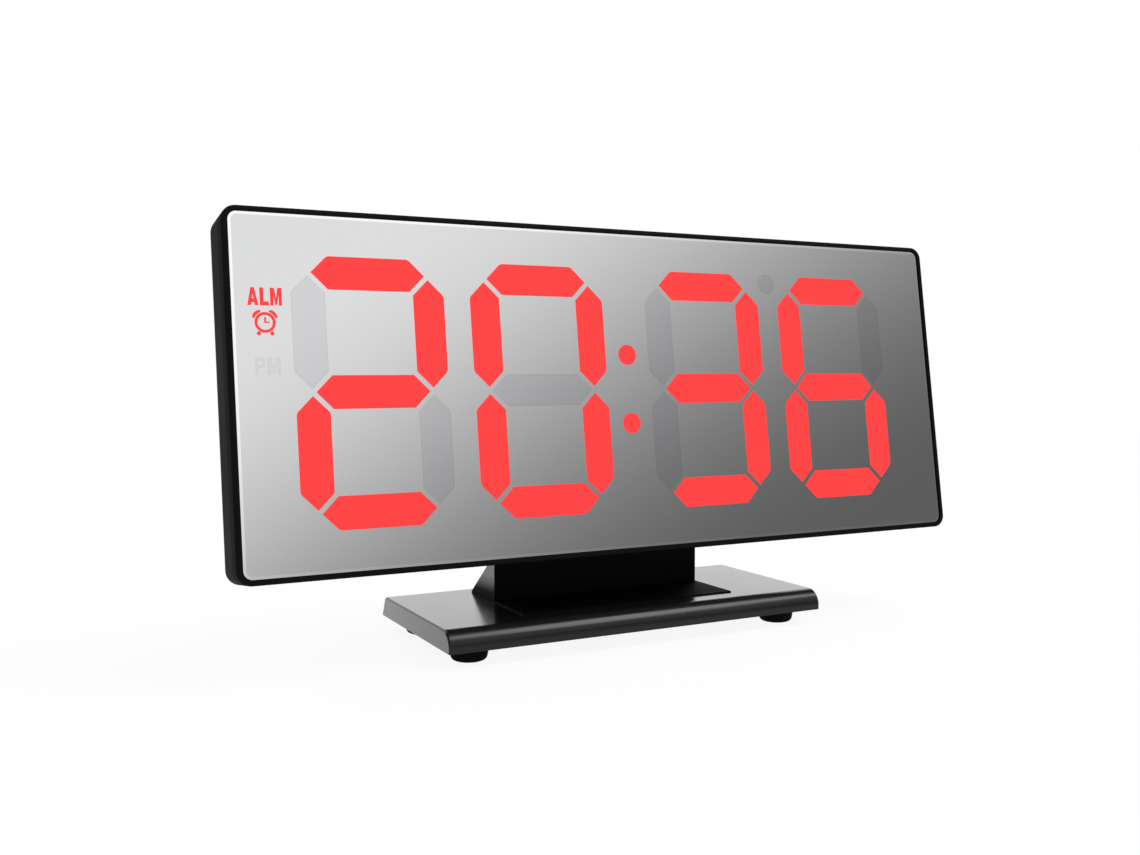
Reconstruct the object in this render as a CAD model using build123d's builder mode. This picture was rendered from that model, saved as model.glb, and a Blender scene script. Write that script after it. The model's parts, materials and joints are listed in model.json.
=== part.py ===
from build123d import *
import os
from math import cos, radians, sin

os.makedirs("parts", exist_ok=True)

# Stand: base plate, feet and neck bracket
base_width = 103.0
base_depth = 46.4
base_thickness = 4.9
base_nose_radius = 3.8
base_back_slope = 2.3
base_back_round = 0.8
base_end_chamfer = 0.4
base_top_wall = 2.6
base_side_wall = 2.4
base_rib = 1.2
base_rib_pitch = 24.0
base_rib_count = 4
foot_height = 3.7
foot_radius = 4.8
foot_tip_radius = 4.1
foot_round = 1.3
foot_seat_depth = 0.6
foot_spacing_x = 87.0
foot_spacing_y = 30.0
foot_pad_radius = 6.2
neck_width = 59.2
neck_thickness = 4.4
neck_front = 2.2
neck_foot_front = -14.4
neck_foot_back = 16.7
neck_foot_depth = 1.2
neck_foot_proud = 0.3
neck_gusset_height = 8.4
neck_gusset_width = 2.2
neck_gusset_count = 4
neck_top = 35.2
neck_clearance = 0.15
neck_screw_x = 18.0
neck_screw_z = 27.7
neck_seat_y = 8.6
neck_screw_length = 6.0
base_screw_spacing = 22.0
base_screw_count = 3
base_screw_y = -6.0

# Head: tilted body, bezel and mirror
tilt = 8.3
mirror_foot_y = -21.8
mirror_foot_z = 23.7
mirror_width = 190.0
mirror_height = 76.0
mirror_thickness = 2.0
mirror_corner = 1.9
mirror_bevel_width = 0.6
mirror_bevel_depth = 0.04
mirror_gap = 0.1
body_width = 192.8
body_height = 78.6
body_corner = 3.2
rim_proud = 0.4
rim_round = 0.8
bezel_depth = 4.0
parting_chamfer = 0.2
ledge_window_width = 185.2
ledge_window_height = 63.8
film_thickness = 0.25
body_depth = 14.0
body_wall = 1.9
body_back_round = 2.6

# Seven-segment display on the face
display_centre = -2.0
digit_offsets = (-63.6, -23.1, 23.1, 63.6)
digit_width = 34.2
digit_height = 58.5
bar_thickness = 7.2
bar_gap = 1.6
bar_outer_round = 1.6
window_gap = 0.02
colon_spacing = 16.6
dot_diameter = 4.9
degree_dot_x = 41.35
degree_dot_y = 27.0
legend_x = -88.3
legend_heights = (20.3, 14.7, 5.6)
legend_cell = (7.6, 4.6)
shown_time = ("abged", "abcdef", "abgcd", "afgecd")

# Light box and display board
reflector_width = 184.6
reflector_height = 63.2
reflector_depth = 5.35
cell_draft = 13.0
board_width = 182.0
board_height = 73.4
board_thickness = 1.2
board_corner = 2.0
board_screw_xs = (-60.0, 0.0, 60.0)
boss_y = 34.6
boss_radius = 2.5
pilot_radius = 1.05
shank_radius = 1.0
corner_boss_x = 89.4
corner_notch_radius = 3.4
corner_boss_rear = 8.0
led_length = 3.0
led_width = 1.4
led_height = 0.9
head_radius = 2.1
head_height = 1.1
board_screw_length = 3.0
housing_screw_length = 7.0
screw_seat_radius = 2.7
screw_seat_depth = 1.0

# Parts soldered to the back of the board
chip_place = (-40.0, -28.0)
chip_size = (18.0, 7.5)
chip_height = 2.2
chip_lead_count = 14
driver_places = ((-10.0, -28.0), (14.0, -28.0))
driver_size = (10.0, 4.0)
driver_height = 1.6
driver_lead_count = 8
lead_length = 0.9
lead_width = 0.45
lead_pitch = 1.27
crystal_place = (-58.0, -28.0)
crystal_radius = 1.5
crystal_length = 8.0
buzzer_place = (45.0, 0.0)
buzzer_radius = 6.0
buzzer_height = 5.5
buzzer_port_radius = 1.0
sensor_place = (72.0, -28.0)
sensor_radius = 1.2
sensor_length = 4.0
capacitor_place = (45.0, -16.0)
capacitor_radius = 2.5
capacitor_height = 5.0

# Controls on the back
button_names = ("set", "up", "down", "alarm", "snooze")
button_pitch = 22.0
button_y = 28.5
button_length = 10.0
button_width = 5.4
button_proud = 1.2
button_round = 0.7
button_flange = 1.2
button_flange_thickness = 0.9
button_clearance = 0.3
button_rest_gap = 0.1
button_strip = (112.0, 11.0)
button_strip_depth = 0.5
switch_body = (6.0, 3.6, 1.1)
plunger_length = 2.4
plunger_width = 1.2
plunger_height = 0.6

# Rear bulge that holds the cells and the neck
bulge_depth = 31.5
bulge_wall = 2.0
bulge_root_width = 128.0
bulge_rear_width = 123.0
bulge_root_top = 19.0
bulge_rear_top = 16.2
bulge_root_bottom = -35.5
bulge_rear_bottom = -34.0
bulge_corner = 6.0
bulge_edge_round = 1.6
vent_place = (77.0, 4.0)
vent_slot = (15.0, 1.5)
vent_pitch = 3.6
vent_count = 6
label_place = (-45.5, -4.0)
label_size = (25.0, 30.0)
label_depth = 0.3
sound_hole_radius = 0.8
sound_hole_pitch = 3.2
sound_hole_count = 6
cell_diameter = 10.5
cell_length = 43.5
cell_nub_radius = 1.9
cell_nub_length = 1.0
cell_pitch = 10.9
cell_depth = 23.4
bay_half_length = 25.7
bay_top = 13.8
bay_bottom = -19.3
bay_floor = 18.0
bay_wall = 1.8
contact_thickness = 0.4
plate_size = 8.0
leaf_width = 3.6
leg_width = 2.4
leg_depth = 19.8
leg_reach = 2.9
leg_clearance = 0.15
door_thickness = 2.4
door_width = 56.0
door_clearance = 0.3
door_bottom = -21.5
door_runner = 1.2
door_runner_thickness = 1.0
door_rib_count = 5
door_rib_pitch = 2.4
rib_length = 16.0
rib_width = 0.9
rib_height = 0.4
socket_wall = 1.8
socket_reach = 6.0
slot_reach = 10.0

# Power socket on the right-hand side wall
power_y = -12.0
power_width = 7.5
power_height = 2.5
power_length = 5.8
power_wall = 0.35
power_mouth_x = 95.2
power_slot_clearance = 0.5
tongue_height = 0.6
tongue_width = 4.0
tongue_back = 1.2
tongue_setback = 0.8

base_top = foot_height + base_thickness
front = Vector(0, -cos(radians(tilt)), sin(radians(tilt)))
up = Vector(0, sin(radians(tilt)), cos(radians(tilt)))
mirror_foot = Vector(0, mirror_foot_y, mirror_foot_z)
face = Plane(origin=mirror_foot + up * (mirror_height / 2), x_dir=(1, 0, 0), z_dir=front)
front_axis = Axis(face.origin, front)

ledge_front = mirror_thickness + film_thickness
reflector_rear = ledge_front + reflector_depth
board_rear = reflector_rear + board_thickness
back_inner = body_depth - body_wall


def at_depth(depth):
    """Plane parallel to the mirror's front face, the given depth behind it."""
    return face.offset(-depth)


def spot(x, y, depth):
    """Point of the head given across, up the face and behind the mirror's front."""
    return face.from_local_coords(Vector(x, y, -depth))


def sideways(x, y, depth):
    """Plane that looks along +X, with its own X up the face and its Y to the front."""
    return Plane(origin=spot(x, y, depth), x_dir=up, z_dir=(1, 0, 0))


# Base plate: a moulded slab with a rounded nose, hollow below
feet = [(sx * foot_spacing_x / 2, sy * foot_spacing_y / 2) for sy in (-1, 1) for sx in (-1, 1)]

with BuildPart() as base_plate:
    with BuildSketch(Plane.YZ.offset(-base_width / 2)) as base_profile:
        with BuildLine():
            Polyline(
                (-base_depth / 2, foot_height),
                (-base_depth / 2, base_top),
                (base_depth / 2 - base_back_slope, base_top),
                (base_depth / 2, foot_height),
                close=True,
            )
        make_face()
        top_corners = base_profile.vertices().group_by(Axis.Y)[-1].sort_by(Axis.X)
        fillet(top_corners[0], base_nose_radius)
        top_corners = base_profile.vertices().group_by(Axis.Y)[-1].sort_by(Axis.X)
        fillet(top_corners[-1], base_back_round)
    extrude(amount=base_width)
    top_face = base_plate.faces().sort_by(Axis.Z)[-1]
    chamfer(top_face.edges().filter_by(Axis.Y), base_end_chamfer)
    with BuildSketch(Plane.XY.offset(foot_height)):
        Rectangle(base_width - 2 * base_side_wall, base_depth - 2 * base_nose_radius)
        with GridLocations(base_rib_pitch, 1, base_rib_count, 1):
            Rectangle(base_rib, base_depth, mode=Mode.SUBTRACT)
        Rectangle(base_width, base_rib, mode=Mode.SUBTRACT)
        with Locations(*feet):
            Circle(foot_pad_radius, mode=Mode.SUBTRACT)
        with Locations((0, base_screw_y)):
            with GridLocations(base_screw_spacing, 1, base_screw_count, 1):
                Circle(boss_radius + 1, mode=Mode.SUBTRACT)
    extrude(amount=base_thickness - base_top_wall, mode=Mode.SUBTRACT)
    with BuildSketch(Plane.XY.offset(foot_height)):
        with Locations(*feet):
            Circle(foot_radius + neck_clearance)
    extrude(amount=foot_seat_depth, mode=Mode.SUBTRACT)
    with BuildSketch(Plane.XY.offset(base_top - neck_foot_depth)):
        with Locations((0, (neck_foot_front + neck_foot_back) / 2)):
            Rectangle(
                neck_width + 2 * neck_clearance,
                neck_foot_back - neck_foot_front + 2 * neck_clearance,
            )
    extrude(amount=neck_foot_depth, mode=Mode.SUBTRACT)
    with BuildSketch(Plane.XY.offset(foot_height)):
        with Locations((0, base_screw_y)):
            with GridLocations(base_screw_spacing, 1, base_screw_count, 1):
                Circle(pilot_radius + neck_clearance)
    extrude(amount=base_thickness, mode=Mode.SUBTRACT)

# Feet: four rubber discs pressed into seats under the base
foot_names = ("foot_front_left", "foot_front_right", "foot_rear_left", "foot_rear_right")
foot_parts = []
for place in feet:
    with BuildPart() as foot:
        with Locations(place):
            Cone(
                foot_tip_radius,
                foot_radius,
                foot_height + foot_seat_depth,
                align=(Align.CENTER, Align.CENTER, Align.MIN),
            )
        fillet(foot.edges().group_by(Axis.Z)[0], foot_round)
    foot_parts.append(foot)

# Neck bracket: flat foot in the base, thin upright, gussets behind it
foot_plate_bottom = base_top - neck_foot_depth
neck_back = neck_front + neck_thickness
gusset_pitch = (neck_width - neck_gusset_width) / (neck_gusset_count - 1)

with BuildPart() as neck_bracket:
    with BuildSketch(Plane.XY.offset(foot_plate_bottom)):
        with Locations((0, (neck_foot_front + neck_foot_back) / 2)):
            Rectangle(neck_width, neck_foot_back - neck_foot_front)
    extrude(amount=neck_foot_depth + neck_foot_proud)
    with BuildSketch(Plane.XY.offset(foot_plate_bottom)):
        with Locations((0, (neck_front + neck_back) / 2)):
            Rectangle(neck_width, neck_thickness)
    extrude(amount=neck_top - foot_plate_bottom)
    for index in range(neck_gusset_count):
        rib_left = -neck_width / 2 + index * gusset_pitch
        with BuildSketch(Plane.YZ.offset(rib_left)):
            with BuildLine():
                Polyline(
                    (neck_back, base_top),
                    (neck_foot_back, base_top),
                    (neck_foot_back, base_top + neck_foot_proud),
                    (neck_back, base_top + neck_gusset_height),
                    close=True,
                )
            make_face()
        extrude(amount=neck_gusset_width)
    with BuildSketch(Plane.XY.offset(foot_plate_bottom)):
        with Locations((0, base_screw_y)):
            with GridLocations(base_screw_spacing, 1, base_screw_count, 1):
                Circle(pilot_radius)
    extrude(amount=neck_foot_depth, mode=Mode.SUBTRACT)
    with BuildSketch(Plane.XZ.offset(-neck_back)):
        with Locations((-neck_screw_x, neck_screw_z), (neck_screw_x, neck_screw_z)):
            Circle(pilot_radius)
    extrude(amount=neck_thickness, mode=Mode.SUBTRACT)

# Front bezel: rim round the mirror, ledge behind it, bosses for the board and the rear cover
corner_bosses = [(sx * corner_boss_x, sy * boss_y) for sx in (-1, 1) for sy in (-1, 1)]
board_bosses = [(x, sy * boss_y) for x in board_screw_xs for sy in (-1, 1)]

with BuildPart() as front_bezel:
    with BuildSketch(at_depth(bezel_depth)):
        RectangleRounded(body_width, body_height, body_corner)
    extrude(amount=bezel_depth + rim_proud)
    rim_edges = front_bezel.faces().sort_by(front_axis)[-1].edges()
    fillet(rim_edges, rim_round)
    parting_edges = front_bezel.faces().sort_by(front_axis)[0].edges()
    chamfer(parting_edges, parting_chamfer)
    with BuildSketch(at_depth(ledge_front)):
        RectangleRounded(
            mirror_width + 2 * mirror_gap,
            mirror_height + 2 * mirror_gap,
            mirror_corner + mirror_gap,
        )
    extrude(amount=ledge_front + rim_proud, mode=Mode.SUBTRACT)
    with BuildSketch(at_depth(bezel_depth)):
        RectangleRounded(ledge_window_width, ledge_window_height, mirror_corner)
    extrude(amount=bezel_depth, mode=Mode.SUBTRACT)
    with BuildSketch(at_depth(reflector_rear)):
        with Locations(*board_bosses):
            Circle(boss_radius)
            Circle(pilot_radius, mode=Mode.SUBTRACT)
    extrude(amount=reflector_rear - bezel_depth)
    with BuildSketch(at_depth(corner_boss_rear)):
        with Locations(*corner_bosses):
            Circle(boss_radius)
            Circle(pilot_radius, mode=Mode.SUBTRACT)
    extrude(amount=corner_boss_rear - bezel_depth)

# Tape frame that bonds the mirror to the ledge
with BuildPart() as mirror_tape:
    with BuildSketch(at_depth(ledge_front)):
        RectangleRounded(mirror_width, mirror_height, mirror_corner)
        RectangleRounded(ledge_window_width, ledge_window_height, mirror_corner, mode=Mode.SUBTRACT)
    extrude(amount=film_thickness)


def bar_shape(length, grow, outer_round):
    """Pointed display bar along X with its outer side at +Y, grown by a margin all round."""
    half = bar_thickness / 2 + grow
    tip = length / 2 + grow * 2 ** 0.5
    with BuildSketch() as bar:
        with BuildLine():
            Polyline(
                (-tip, 0), (half - tip, half), (tip - half, half),
                (tip, 0), (tip - half, -half), (half - tip, -half),
                close=True,
            )
        make_face()
        if outer_round:
            fillet(bar.vertices().group_by(Axis.Y)[-1], outer_round)
    return bar.sketch


# Bars of the four digits: place, turn and length of each of the seven letters
row_length = digit_width - bar_thickness - bar_gap
column_length = (digit_height - bar_thickness) / 2 - bar_gap
half_across = (digit_width - bar_thickness) / 2
half_up = (digit_height - bar_thickness) / 2
bar_places = {
    "a": (0, half_up, 0),
    "b": (half_across, half_up / 2, -90),
    "c": (half_across, -half_up / 2, -90),
    "d": (0, -half_up, 180),
    "e": (-half_across, -half_up / 2, 90),
    "f": (-half_across, half_up / 2, 90),
    "g": (0, 0, 0),
}
digit_centres = [display_centre + offset for offset in digit_offsets]
colon_places = [(display_centre, sy * colon_spacing / 2) for sy in (-1, 1)]
degree_place = (degree_dot_x, degree_dot_y)


def bar_sketches(grow, outer_round):
    """One outline for each letter's bar: rows, columns and the plain middle row."""
    row = bar_shape(row_length, grow, outer_round)
    column = bar_shape(column_length, grow, outer_round)
    middle = bar_shape(row_length, grow, 0)
    return {"a": row, "d": row, "g": middle, "b": column, "c": column, "e": column, "f": column}


def place_bars(outlines, wanted):
    """Add the wanted bars of every digit to the sketch that is open."""
    for centre, letters in zip(digit_centres, wanted):
        for letter in letters:
            x, y, turn = bar_places[letter]
            with Locations(Location((centre + x, y, 0), (0, 0, turn))):
                add(outlines[letter])


all_bars = ("abcdefg",) * len(digit_centres)
dark_bars = tuple("".join(c for c in "abcdefg" if c not in lit) for lit in shown_time)
lens_outlines = bar_sketches(0, bar_outer_round)
window_outlines = bar_sketches(window_gap, bar_outer_round)
cell_outlines = bar_sketches(0, 0)

# Mirror panel: bevelled plate with a window for every bar and dot
with BuildPart() as mirror_panel:
    with BuildSketch(at_depth(mirror_thickness)):
        RectangleRounded(mirror_width, mirror_height, mirror_corner)
    extrude(amount=mirror_thickness)
    front_face = mirror_panel.faces().sort_by(front_axis)[-1]
    chamfer(front_face.edges(), mirror_bevel_width, mirror_bevel_depth, reference=front_face)
    with BuildSketch(at_depth(mirror_thickness)):
        place_bars(window_outlines, all_bars)
        with Locations(*colon_places, degree_place):
            Circle(dot_diameter / 2 + window_gap)
    extrude(amount=mirror_thickness, mode=Mode.SUBTRACT)

# Display lenses that fill the windows, flush with the mirror
with BuildPart() as lit_segments:
    with BuildSketch(at_depth(mirror_thickness)):
        place_bars(lens_outlines, shown_time)
    extrude(amount=mirror_thickness)

with BuildPart() as unlit_segments:
    with BuildSketch(at_depth(mirror_thickness)):
        place_bars(lens_outlines, dark_bars)
    extrude(amount=mirror_thickness)

with BuildPart() as colon_dots:
    with BuildSketch(at_depth(mirror_thickness)):
        with Locations(*colon_places):
            Circle(dot_diameter / 2)
    extrude(amount=mirror_thickness)

with BuildPart() as degree_dot:
    with BuildSketch(at_depth(mirror_thickness)):
        with Locations(degree_place):
            Circle(dot_diameter / 2)
    extrude(amount=mirror_thickness)

# Diffuser film behind the lenses
with BuildPart() as diffuser_film:
    with BuildSketch(at_depth(ledge_front)):
        RectangleRounded(reflector_width, reflector_height, mirror_corner)
    extrude(amount=film_thickness)

# Segment reflector: one drafted light cell behind every bar, dot and indicator
legend_places = [(legend_x, y) for y in legend_heights]

with BuildPart() as segment_reflector:
    with BuildSketch(at_depth(ledge_front)):
        RectangleRounded(reflector_width, reflector_height, mirror_corner)
    extrude(amount=-reflector_depth)
    with BuildSketch(at_depth(ledge_front)):
        place_bars(cell_outlines, all_bars)
        with Locations(*colon_places, degree_place):
            Circle(dot_diameter / 2)
        with Locations(*legend_places):
            Rectangle(*legend_cell)
    extrude(amount=-reflector_depth, taper=cell_draft, mode=Mode.SUBTRACT)

# Display board with its LEDs facing into the light cells
with BuildPart() as display_board:
    with BuildSketch(at_depth(board_rear)):
        RectangleRounded(board_width, board_height, board_corner)
        with Locations(*corner_bosses):
            Circle(corner_notch_radius, mode=Mode.SUBTRACT)
        with Locations(*board_bosses):
            Circle(pilot_radius + neck_clearance, mode=Mode.SUBTRACT)
    extrude(amount=board_thickness)

with BuildPart() as segment_leds:
    with BuildSketch(at_depth(reflector_rear)):
        for centre in digit_centres:
            for letter, (x, y, turn) in bar_places.items():
                bar_length = row_length if letter in "adg" else column_length
                with Locations(Location((centre + x, y, 0), (0, 0, turn))):
                    with GridLocations(bar_length / 2, 1, 2, 1):
                        Rectangle(led_length, led_width)
        with Locations(*colon_places, degree_place, *legend_places):
            Rectangle(led_width, led_width)
    extrude(amount=led_height)

# Board fasteners and the parts soldered to the back of the board
with BuildPart() as board_screws:
    with BuildSketch(at_depth(board_rear)):
        with Locations(*board_bosses):
            Circle(head_radius)
    extrude(amount=-head_height)
    fillet(board_screws.faces().filter_by(face).group_by(front_axis)[0].edges(), head_height / 2)
    with BuildSketch(at_depth(board_rear)):
        with Locations(*board_bosses):
            Circle(shank_radius)
    extrude(amount=board_screw_length)


def leaded_chip(places, size, height, lead_count):
    """Flat chips on the back of the board, each with a row of leads along both long sides."""
    with BuildPart() as chip:
        with BuildSketch(at_depth(board_rear)):
            with Locations(*places):
                Rectangle(*size)
        extrude(amount=-height)
        chamfer(chip.faces().group_by(front_axis)[0].edges(), lead_width / 2)
        with BuildSketch(at_depth(board_rear)):
            with Locations(*places):
                with GridLocations(lead_pitch, size[1] + lead_length, lead_count, 2):
                    Rectangle(lead_width, lead_length)
        extrude(amount=-lead_width)
    return chip


controller_chip = leaded_chip([chip_place], chip_size, chip_height, chip_lead_count)
driver_chips = leaded_chip(driver_places, driver_size, driver_height, driver_lead_count)

with BuildPart() as crystal:
    with BuildSketch(sideways(crystal_place[0], crystal_place[1], board_rear + crystal_radius)):
        Circle(crystal_radius)
    extrude(amount=crystal_length)
    fillet(crystal.edges().group_by(Axis.X)[0], crystal_radius / 3)

with BuildPart() as buzzer:
    with BuildSketch(at_depth(board_rear)):
        with Locations(buzzer_place):
            Circle(buzzer_radius)
    extrude(amount=-buzzer_height)
    fillet(buzzer.faces().sort_by(front_axis)[0].edges(), head_height / 2)
    with BuildSketch(at_depth(board_rear + buzzer_height)):
        with Locations(buzzer_place):
            Circle(buzzer_port_radius)
    extrude(amount=head_height, mode=Mode.SUBTRACT)

with BuildPart() as temperature_sensor:
    with BuildSketch(sideways(sensor_place[0], sensor_place[1], board_rear + sensor_radius)):
        Circle(sensor_radius)
    extrude(amount=sensor_length)
    fillet(temperature_sensor.edges().filter_by(GeomType.CIRCLE), sensor_radius / 2)

with BuildPart() as smoothing_capacitor:
    with BuildSketch(at_depth(board_rear)):
        with Locations(capacitor_place):
            Circle(capacitor_radius)
    extrude(amount=-capacitor_height)
    fillet(smoothing_capacitor.faces().sort_by(front_axis)[0].edges(), lead_width)

button_xs = [(index - (len(button_names) - 1) / 2) * button_pitch for index in range(len(button_names))]
button_places = [(x, button_y) for x in button_xs]
switch_rear = board_rear + switch_body[2]
with BuildPart() as switch_bodies:
    with BuildSketch(at_depth(board_rear)):
        with Locations(*button_places):
            Rectangle(switch_body[0], switch_body[1])
    extrude(amount=-switch_body[2])

with BuildPart() as switch_plungers:
    with BuildSketch(at_depth(switch_rear)):
        with Locations(*button_places):
            SlotOverall(plunger_length, plunger_width)
    extrude(amount=-plunger_height)

# Power socket: folded steel shell with a contact tongue, at the board's right edge
power_axis_depth = board_rear + power_height / 2
power_plane = sideways(power_mouth_x - power_length, power_y, power_axis_depth)

with BuildPart() as power_socket_shell:
    with BuildSketch(power_plane):
        RectangleRounded(power_width, power_height, power_wall * 2)
        RectangleRounded(
            power_width - 2 * power_wall, power_height - 2 * power_wall, power_wall, mode=Mode.SUBTRACT
        )
    extrude(amount=power_length)

with BuildPart() as power_socket_insulator:
    with BuildSketch(power_plane):
        RectangleRounded(power_width - 2 * power_wall, power_height - 2 * power_wall, power_wall)
    extrude(amount=tongue_back)
    with BuildSketch(power_plane):
        Rectangle(tongue_width, tongue_height)
    extrude(amount=power_length - tongue_setback)

# Rear cover: shell behind the bezel with a bulge for the cells and the neck
bulge_top_wall_y = bulge_rear_top - bulge_wall
door_rear = bulge_depth
door_front = bulge_depth - door_thickness
recess_floor = door_front - door_clearance
groove_rear = door_front + door_runner_thickness + door_clearance
groove_half = door_width / 2 + door_runner + door_clearance
rim_front = recess_floor - bay_wall
rim_half = groove_half + bay_wall
bay_centre_y = (bay_top + bay_bottom) / 2
bay_height = bay_top - bay_bottom
cell_rows = (bay_centre_y + cell_pitch, bay_centre_y, bay_centre_y - cell_pitch)
terminal_legs = ((1, cell_rows[0]), (-1, cell_rows[-1]))


def bulge_block(inset, near, far):
    """Drafted block of the rear bulge between two depths, shrunk by an inset all round."""
    with BuildPart() as block:
        for depth in (near, far):
            share = (depth - body_depth) / (bulge_depth - body_depth)
            top = bulge_root_top + (bulge_rear_top - bulge_root_top) * share - inset
            bottom = bulge_root_bottom + (bulge_rear_bottom - bulge_root_bottom) * share + inset
            width = bulge_root_width + (bulge_rear_width - bulge_root_width) * share - 2 * inset
            with BuildSketch(at_depth(depth)):
                with Locations((0, (top + bottom) / 2)):
                    RectangleRounded(width, top - bottom, bulge_corner - inset)
        loft(ruled=True)
    return block.part


bulge_outer = bulge_block(0, back_inner, bulge_depth)
bulge_hollow = bulge_block(bulge_wall, back_inner - body_wall, bulge_depth - bulge_wall)
slot_front = neck_front - neck_clearance
slot_back = neck_front + neck_thickness + neck_clearance
slot_top = neck_top + neck_clearance

with BuildPart() as neck_socket:
    with BuildSketch(Plane.XY.offset(mirror_foot_z - socket_reach)):
        with Locations((0, (slot_front + slot_back) / 2)):
            Rectangle(
                neck_width + 2 * (neck_clearance + socket_wall),
                neck_thickness + 2 * (neck_clearance + socket_wall),
            )
    extrude(amount=slot_top + socket_wall - (mirror_foot_z - socket_reach))
    add(bulge_outer, mode=Mode.INTERSECT)

with BuildPart() as rear_cover:
    with BuildSketch(at_depth(body_depth)):
        RectangleRounded(body_width, body_height, body_corner)
    extrude(amount=body_depth - bezel_depth)
    fillet(rear_cover.faces().sort_by(front_axis)[0].edges(), body_back_round)
    chamfer(rear_cover.faces().sort_by(front_axis)[-1].edges(), parting_chamfer)
    add(bulge_outer)
    fillet(rear_cover.faces().sort_by(front_axis)[0].edges(), bulge_edge_round)
    with BuildSketch(at_depth(back_inner)):
        RectangleRounded(body_width - 2 * body_wall, body_height - 2 * body_wall, body_corner - body_wall)
    extrude(amount=back_inner - bezel_depth, mode=Mode.SUBTRACT)
    add(bulge_hollow, mode=Mode.SUBTRACT)
    add(neck_socket.part)
    with BuildSketch(at_depth(bay_floor - bay_wall)):
        with Locations((0, bay_centre_y)):
            Rectangle(2 * (bay_half_length + bay_wall), bay_height + 2 * bay_wall)
    extrude(amount=-(bulge_depth - bulge_wall - bay_floor + bay_wall))
    with BuildSketch(at_depth(rim_front)):
        with Locations((0, (bulge_top_wall_y + door_bottom - bay_wall) / 2)):
            Rectangle(2 * rim_half, bulge_top_wall_y - door_bottom + bay_wall)
    extrude(amount=-(bulge_depth - bulge_wall - rim_front))
    with BuildSketch(at_depth(bay_floor)):
        with Locations((0, bay_centre_y)):
            Rectangle(2 * bay_half_length, bay_height)
    extrude(amount=-(bulge_depth - bay_floor), mode=Mode.SUBTRACT)
    for side, row in terminal_legs:
        with BuildSketch(sideways(side * bay_half_length, row, leg_depth)):
            Rectangle(leg_width + 2 * leg_clearance, contact_thickness + 2 * leg_clearance)
        extrude(amount=side * bay_wall, mode=Mode.SUBTRACT)
    recess_bottom = door_bottom - door_clearance
    recess_top = bulge_root_top
    with BuildSketch(at_depth(recess_floor)):
        with Locations((0, (recess_top + recess_bottom) / 2)):
            Rectangle(door_width + 2 * door_clearance, recess_top - recess_bottom)
    extrude(amount=-(bulge_depth - recess_floor), mode=Mode.SUBTRACT)
    with BuildSketch(at_depth(recess_floor)):
        with Locations((0, (recess_top + recess_bottom) / 2)):
            Rectangle(2 * groove_half, recess_top - recess_bottom)
    extrude(amount=-(groove_rear - recess_floor), mode=Mode.SUBTRACT)
    with BuildSketch(Plane.XY.offset(mirror_foot_z - slot_reach)):
        with Locations((0, (slot_front + slot_back) / 2)):
            Rectangle(neck_width + 2 * neck_clearance, slot_back - slot_front)
    extrude(amount=slot_top - (mirror_foot_z - slot_reach), mode=Mode.SUBTRACT)
    with BuildSketch(Plane.XZ.offset(-neck_seat_y)):
        with Locations((-neck_screw_x, neck_screw_z), (neck_screw_x, neck_screw_z)):
            Circle(screw_seat_radius)
    extrude(amount=-bulge_depth, mode=Mode.SUBTRACT)
    with BuildSketch(Plane.XZ.offset(-neck_seat_y)):
        with Locations((-neck_screw_x, neck_screw_z), (neck_screw_x, neck_screw_z)):
            Circle(pilot_radius + neck_clearance)
    extrude(amount=neck_seat_y - slot_back, mode=Mode.SUBTRACT)
    with BuildSketch(at_depth(back_inner)):
        with Locations(*corner_bosses):
            Circle(boss_radius)
    extrude(amount=back_inner - corner_boss_rear)
    with BuildSketch(at_depth(body_depth)):
        with Locations(*corner_bosses):
            Circle(screw_seat_radius)
    extrude(amount=screw_seat_depth, mode=Mode.SUBTRACT)
    with BuildSketch(at_depth(body_depth)):
        with Locations(*corner_bosses):
            Circle(pilot_radius + neck_clearance)
    extrude(amount=body_depth - corner_boss_rear, mode=Mode.SUBTRACT)
    with BuildSketch(at_depth(body_depth)):
        with Locations((0, button_y)):
            SlotOverall(*button_strip)
    extrude(amount=button_strip_depth, mode=Mode.SUBTRACT)
    with BuildSketch(at_depth(body_depth)):
        with Locations(*button_places):
            SlotOverall(button_length + 2 * button_clearance, button_width + 2 * button_clearance)
    extrude(amount=body_wall, mode=Mode.SUBTRACT)
    with BuildSketch(at_depth(body_depth)):
        with Locations(vent_place, (-vent_place[0], vent_place[1])):
            with GridLocations(1, vent_pitch, 1, vent_count):
                SlotOverall(*vent_slot)
    extrude(amount=body_wall, mode=Mode.SUBTRACT)
    with BuildSketch(at_depth(bulge_depth)):
        with Locations(label_place):
            RectangleRounded(*label_size, body_wall)
    extrude(amount=label_depth, mode=Mode.SUBTRACT)
    with BuildSketch(at_depth(bulge_depth)):
        with Locations(buzzer_place):
            Circle(sound_hole_radius)
            with PolarLocations(sound_hole_pitch, sound_hole_count):
                Circle(sound_hole_radius)
    extrude(amount=bulge_wall, mode=Mode.SUBTRACT)
    with BuildSketch(sideways(corner_boss_x + boss_radius + body_wall, power_y, power_axis_depth)):
        RectangleRounded(
            power_width + 2 * power_slot_clearance,
            power_height + power_slot_clearance,
            power_slot_clearance,
        )
    extrude(amount=body_width / 2 - corner_boss_x, mode=Mode.SUBTRACT)

# Screws of the housing, the neck and the base
seat_floor = body_depth - screw_seat_depth
with BuildPart() as housing_screws:
    with BuildSketch(at_depth(seat_floor)):
        with Locations(*corner_bosses):
            Circle(head_radius)
    extrude(amount=-head_height)
    fillet(housing_screws.faces().filter_by(face).group_by(front_axis)[0].edges(), head_height / 2)
    with BuildSketch(at_depth(seat_floor)):
        with Locations(*corner_bosses):
            Circle(shank_radius)
    extrude(amount=housing_screw_length)

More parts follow.
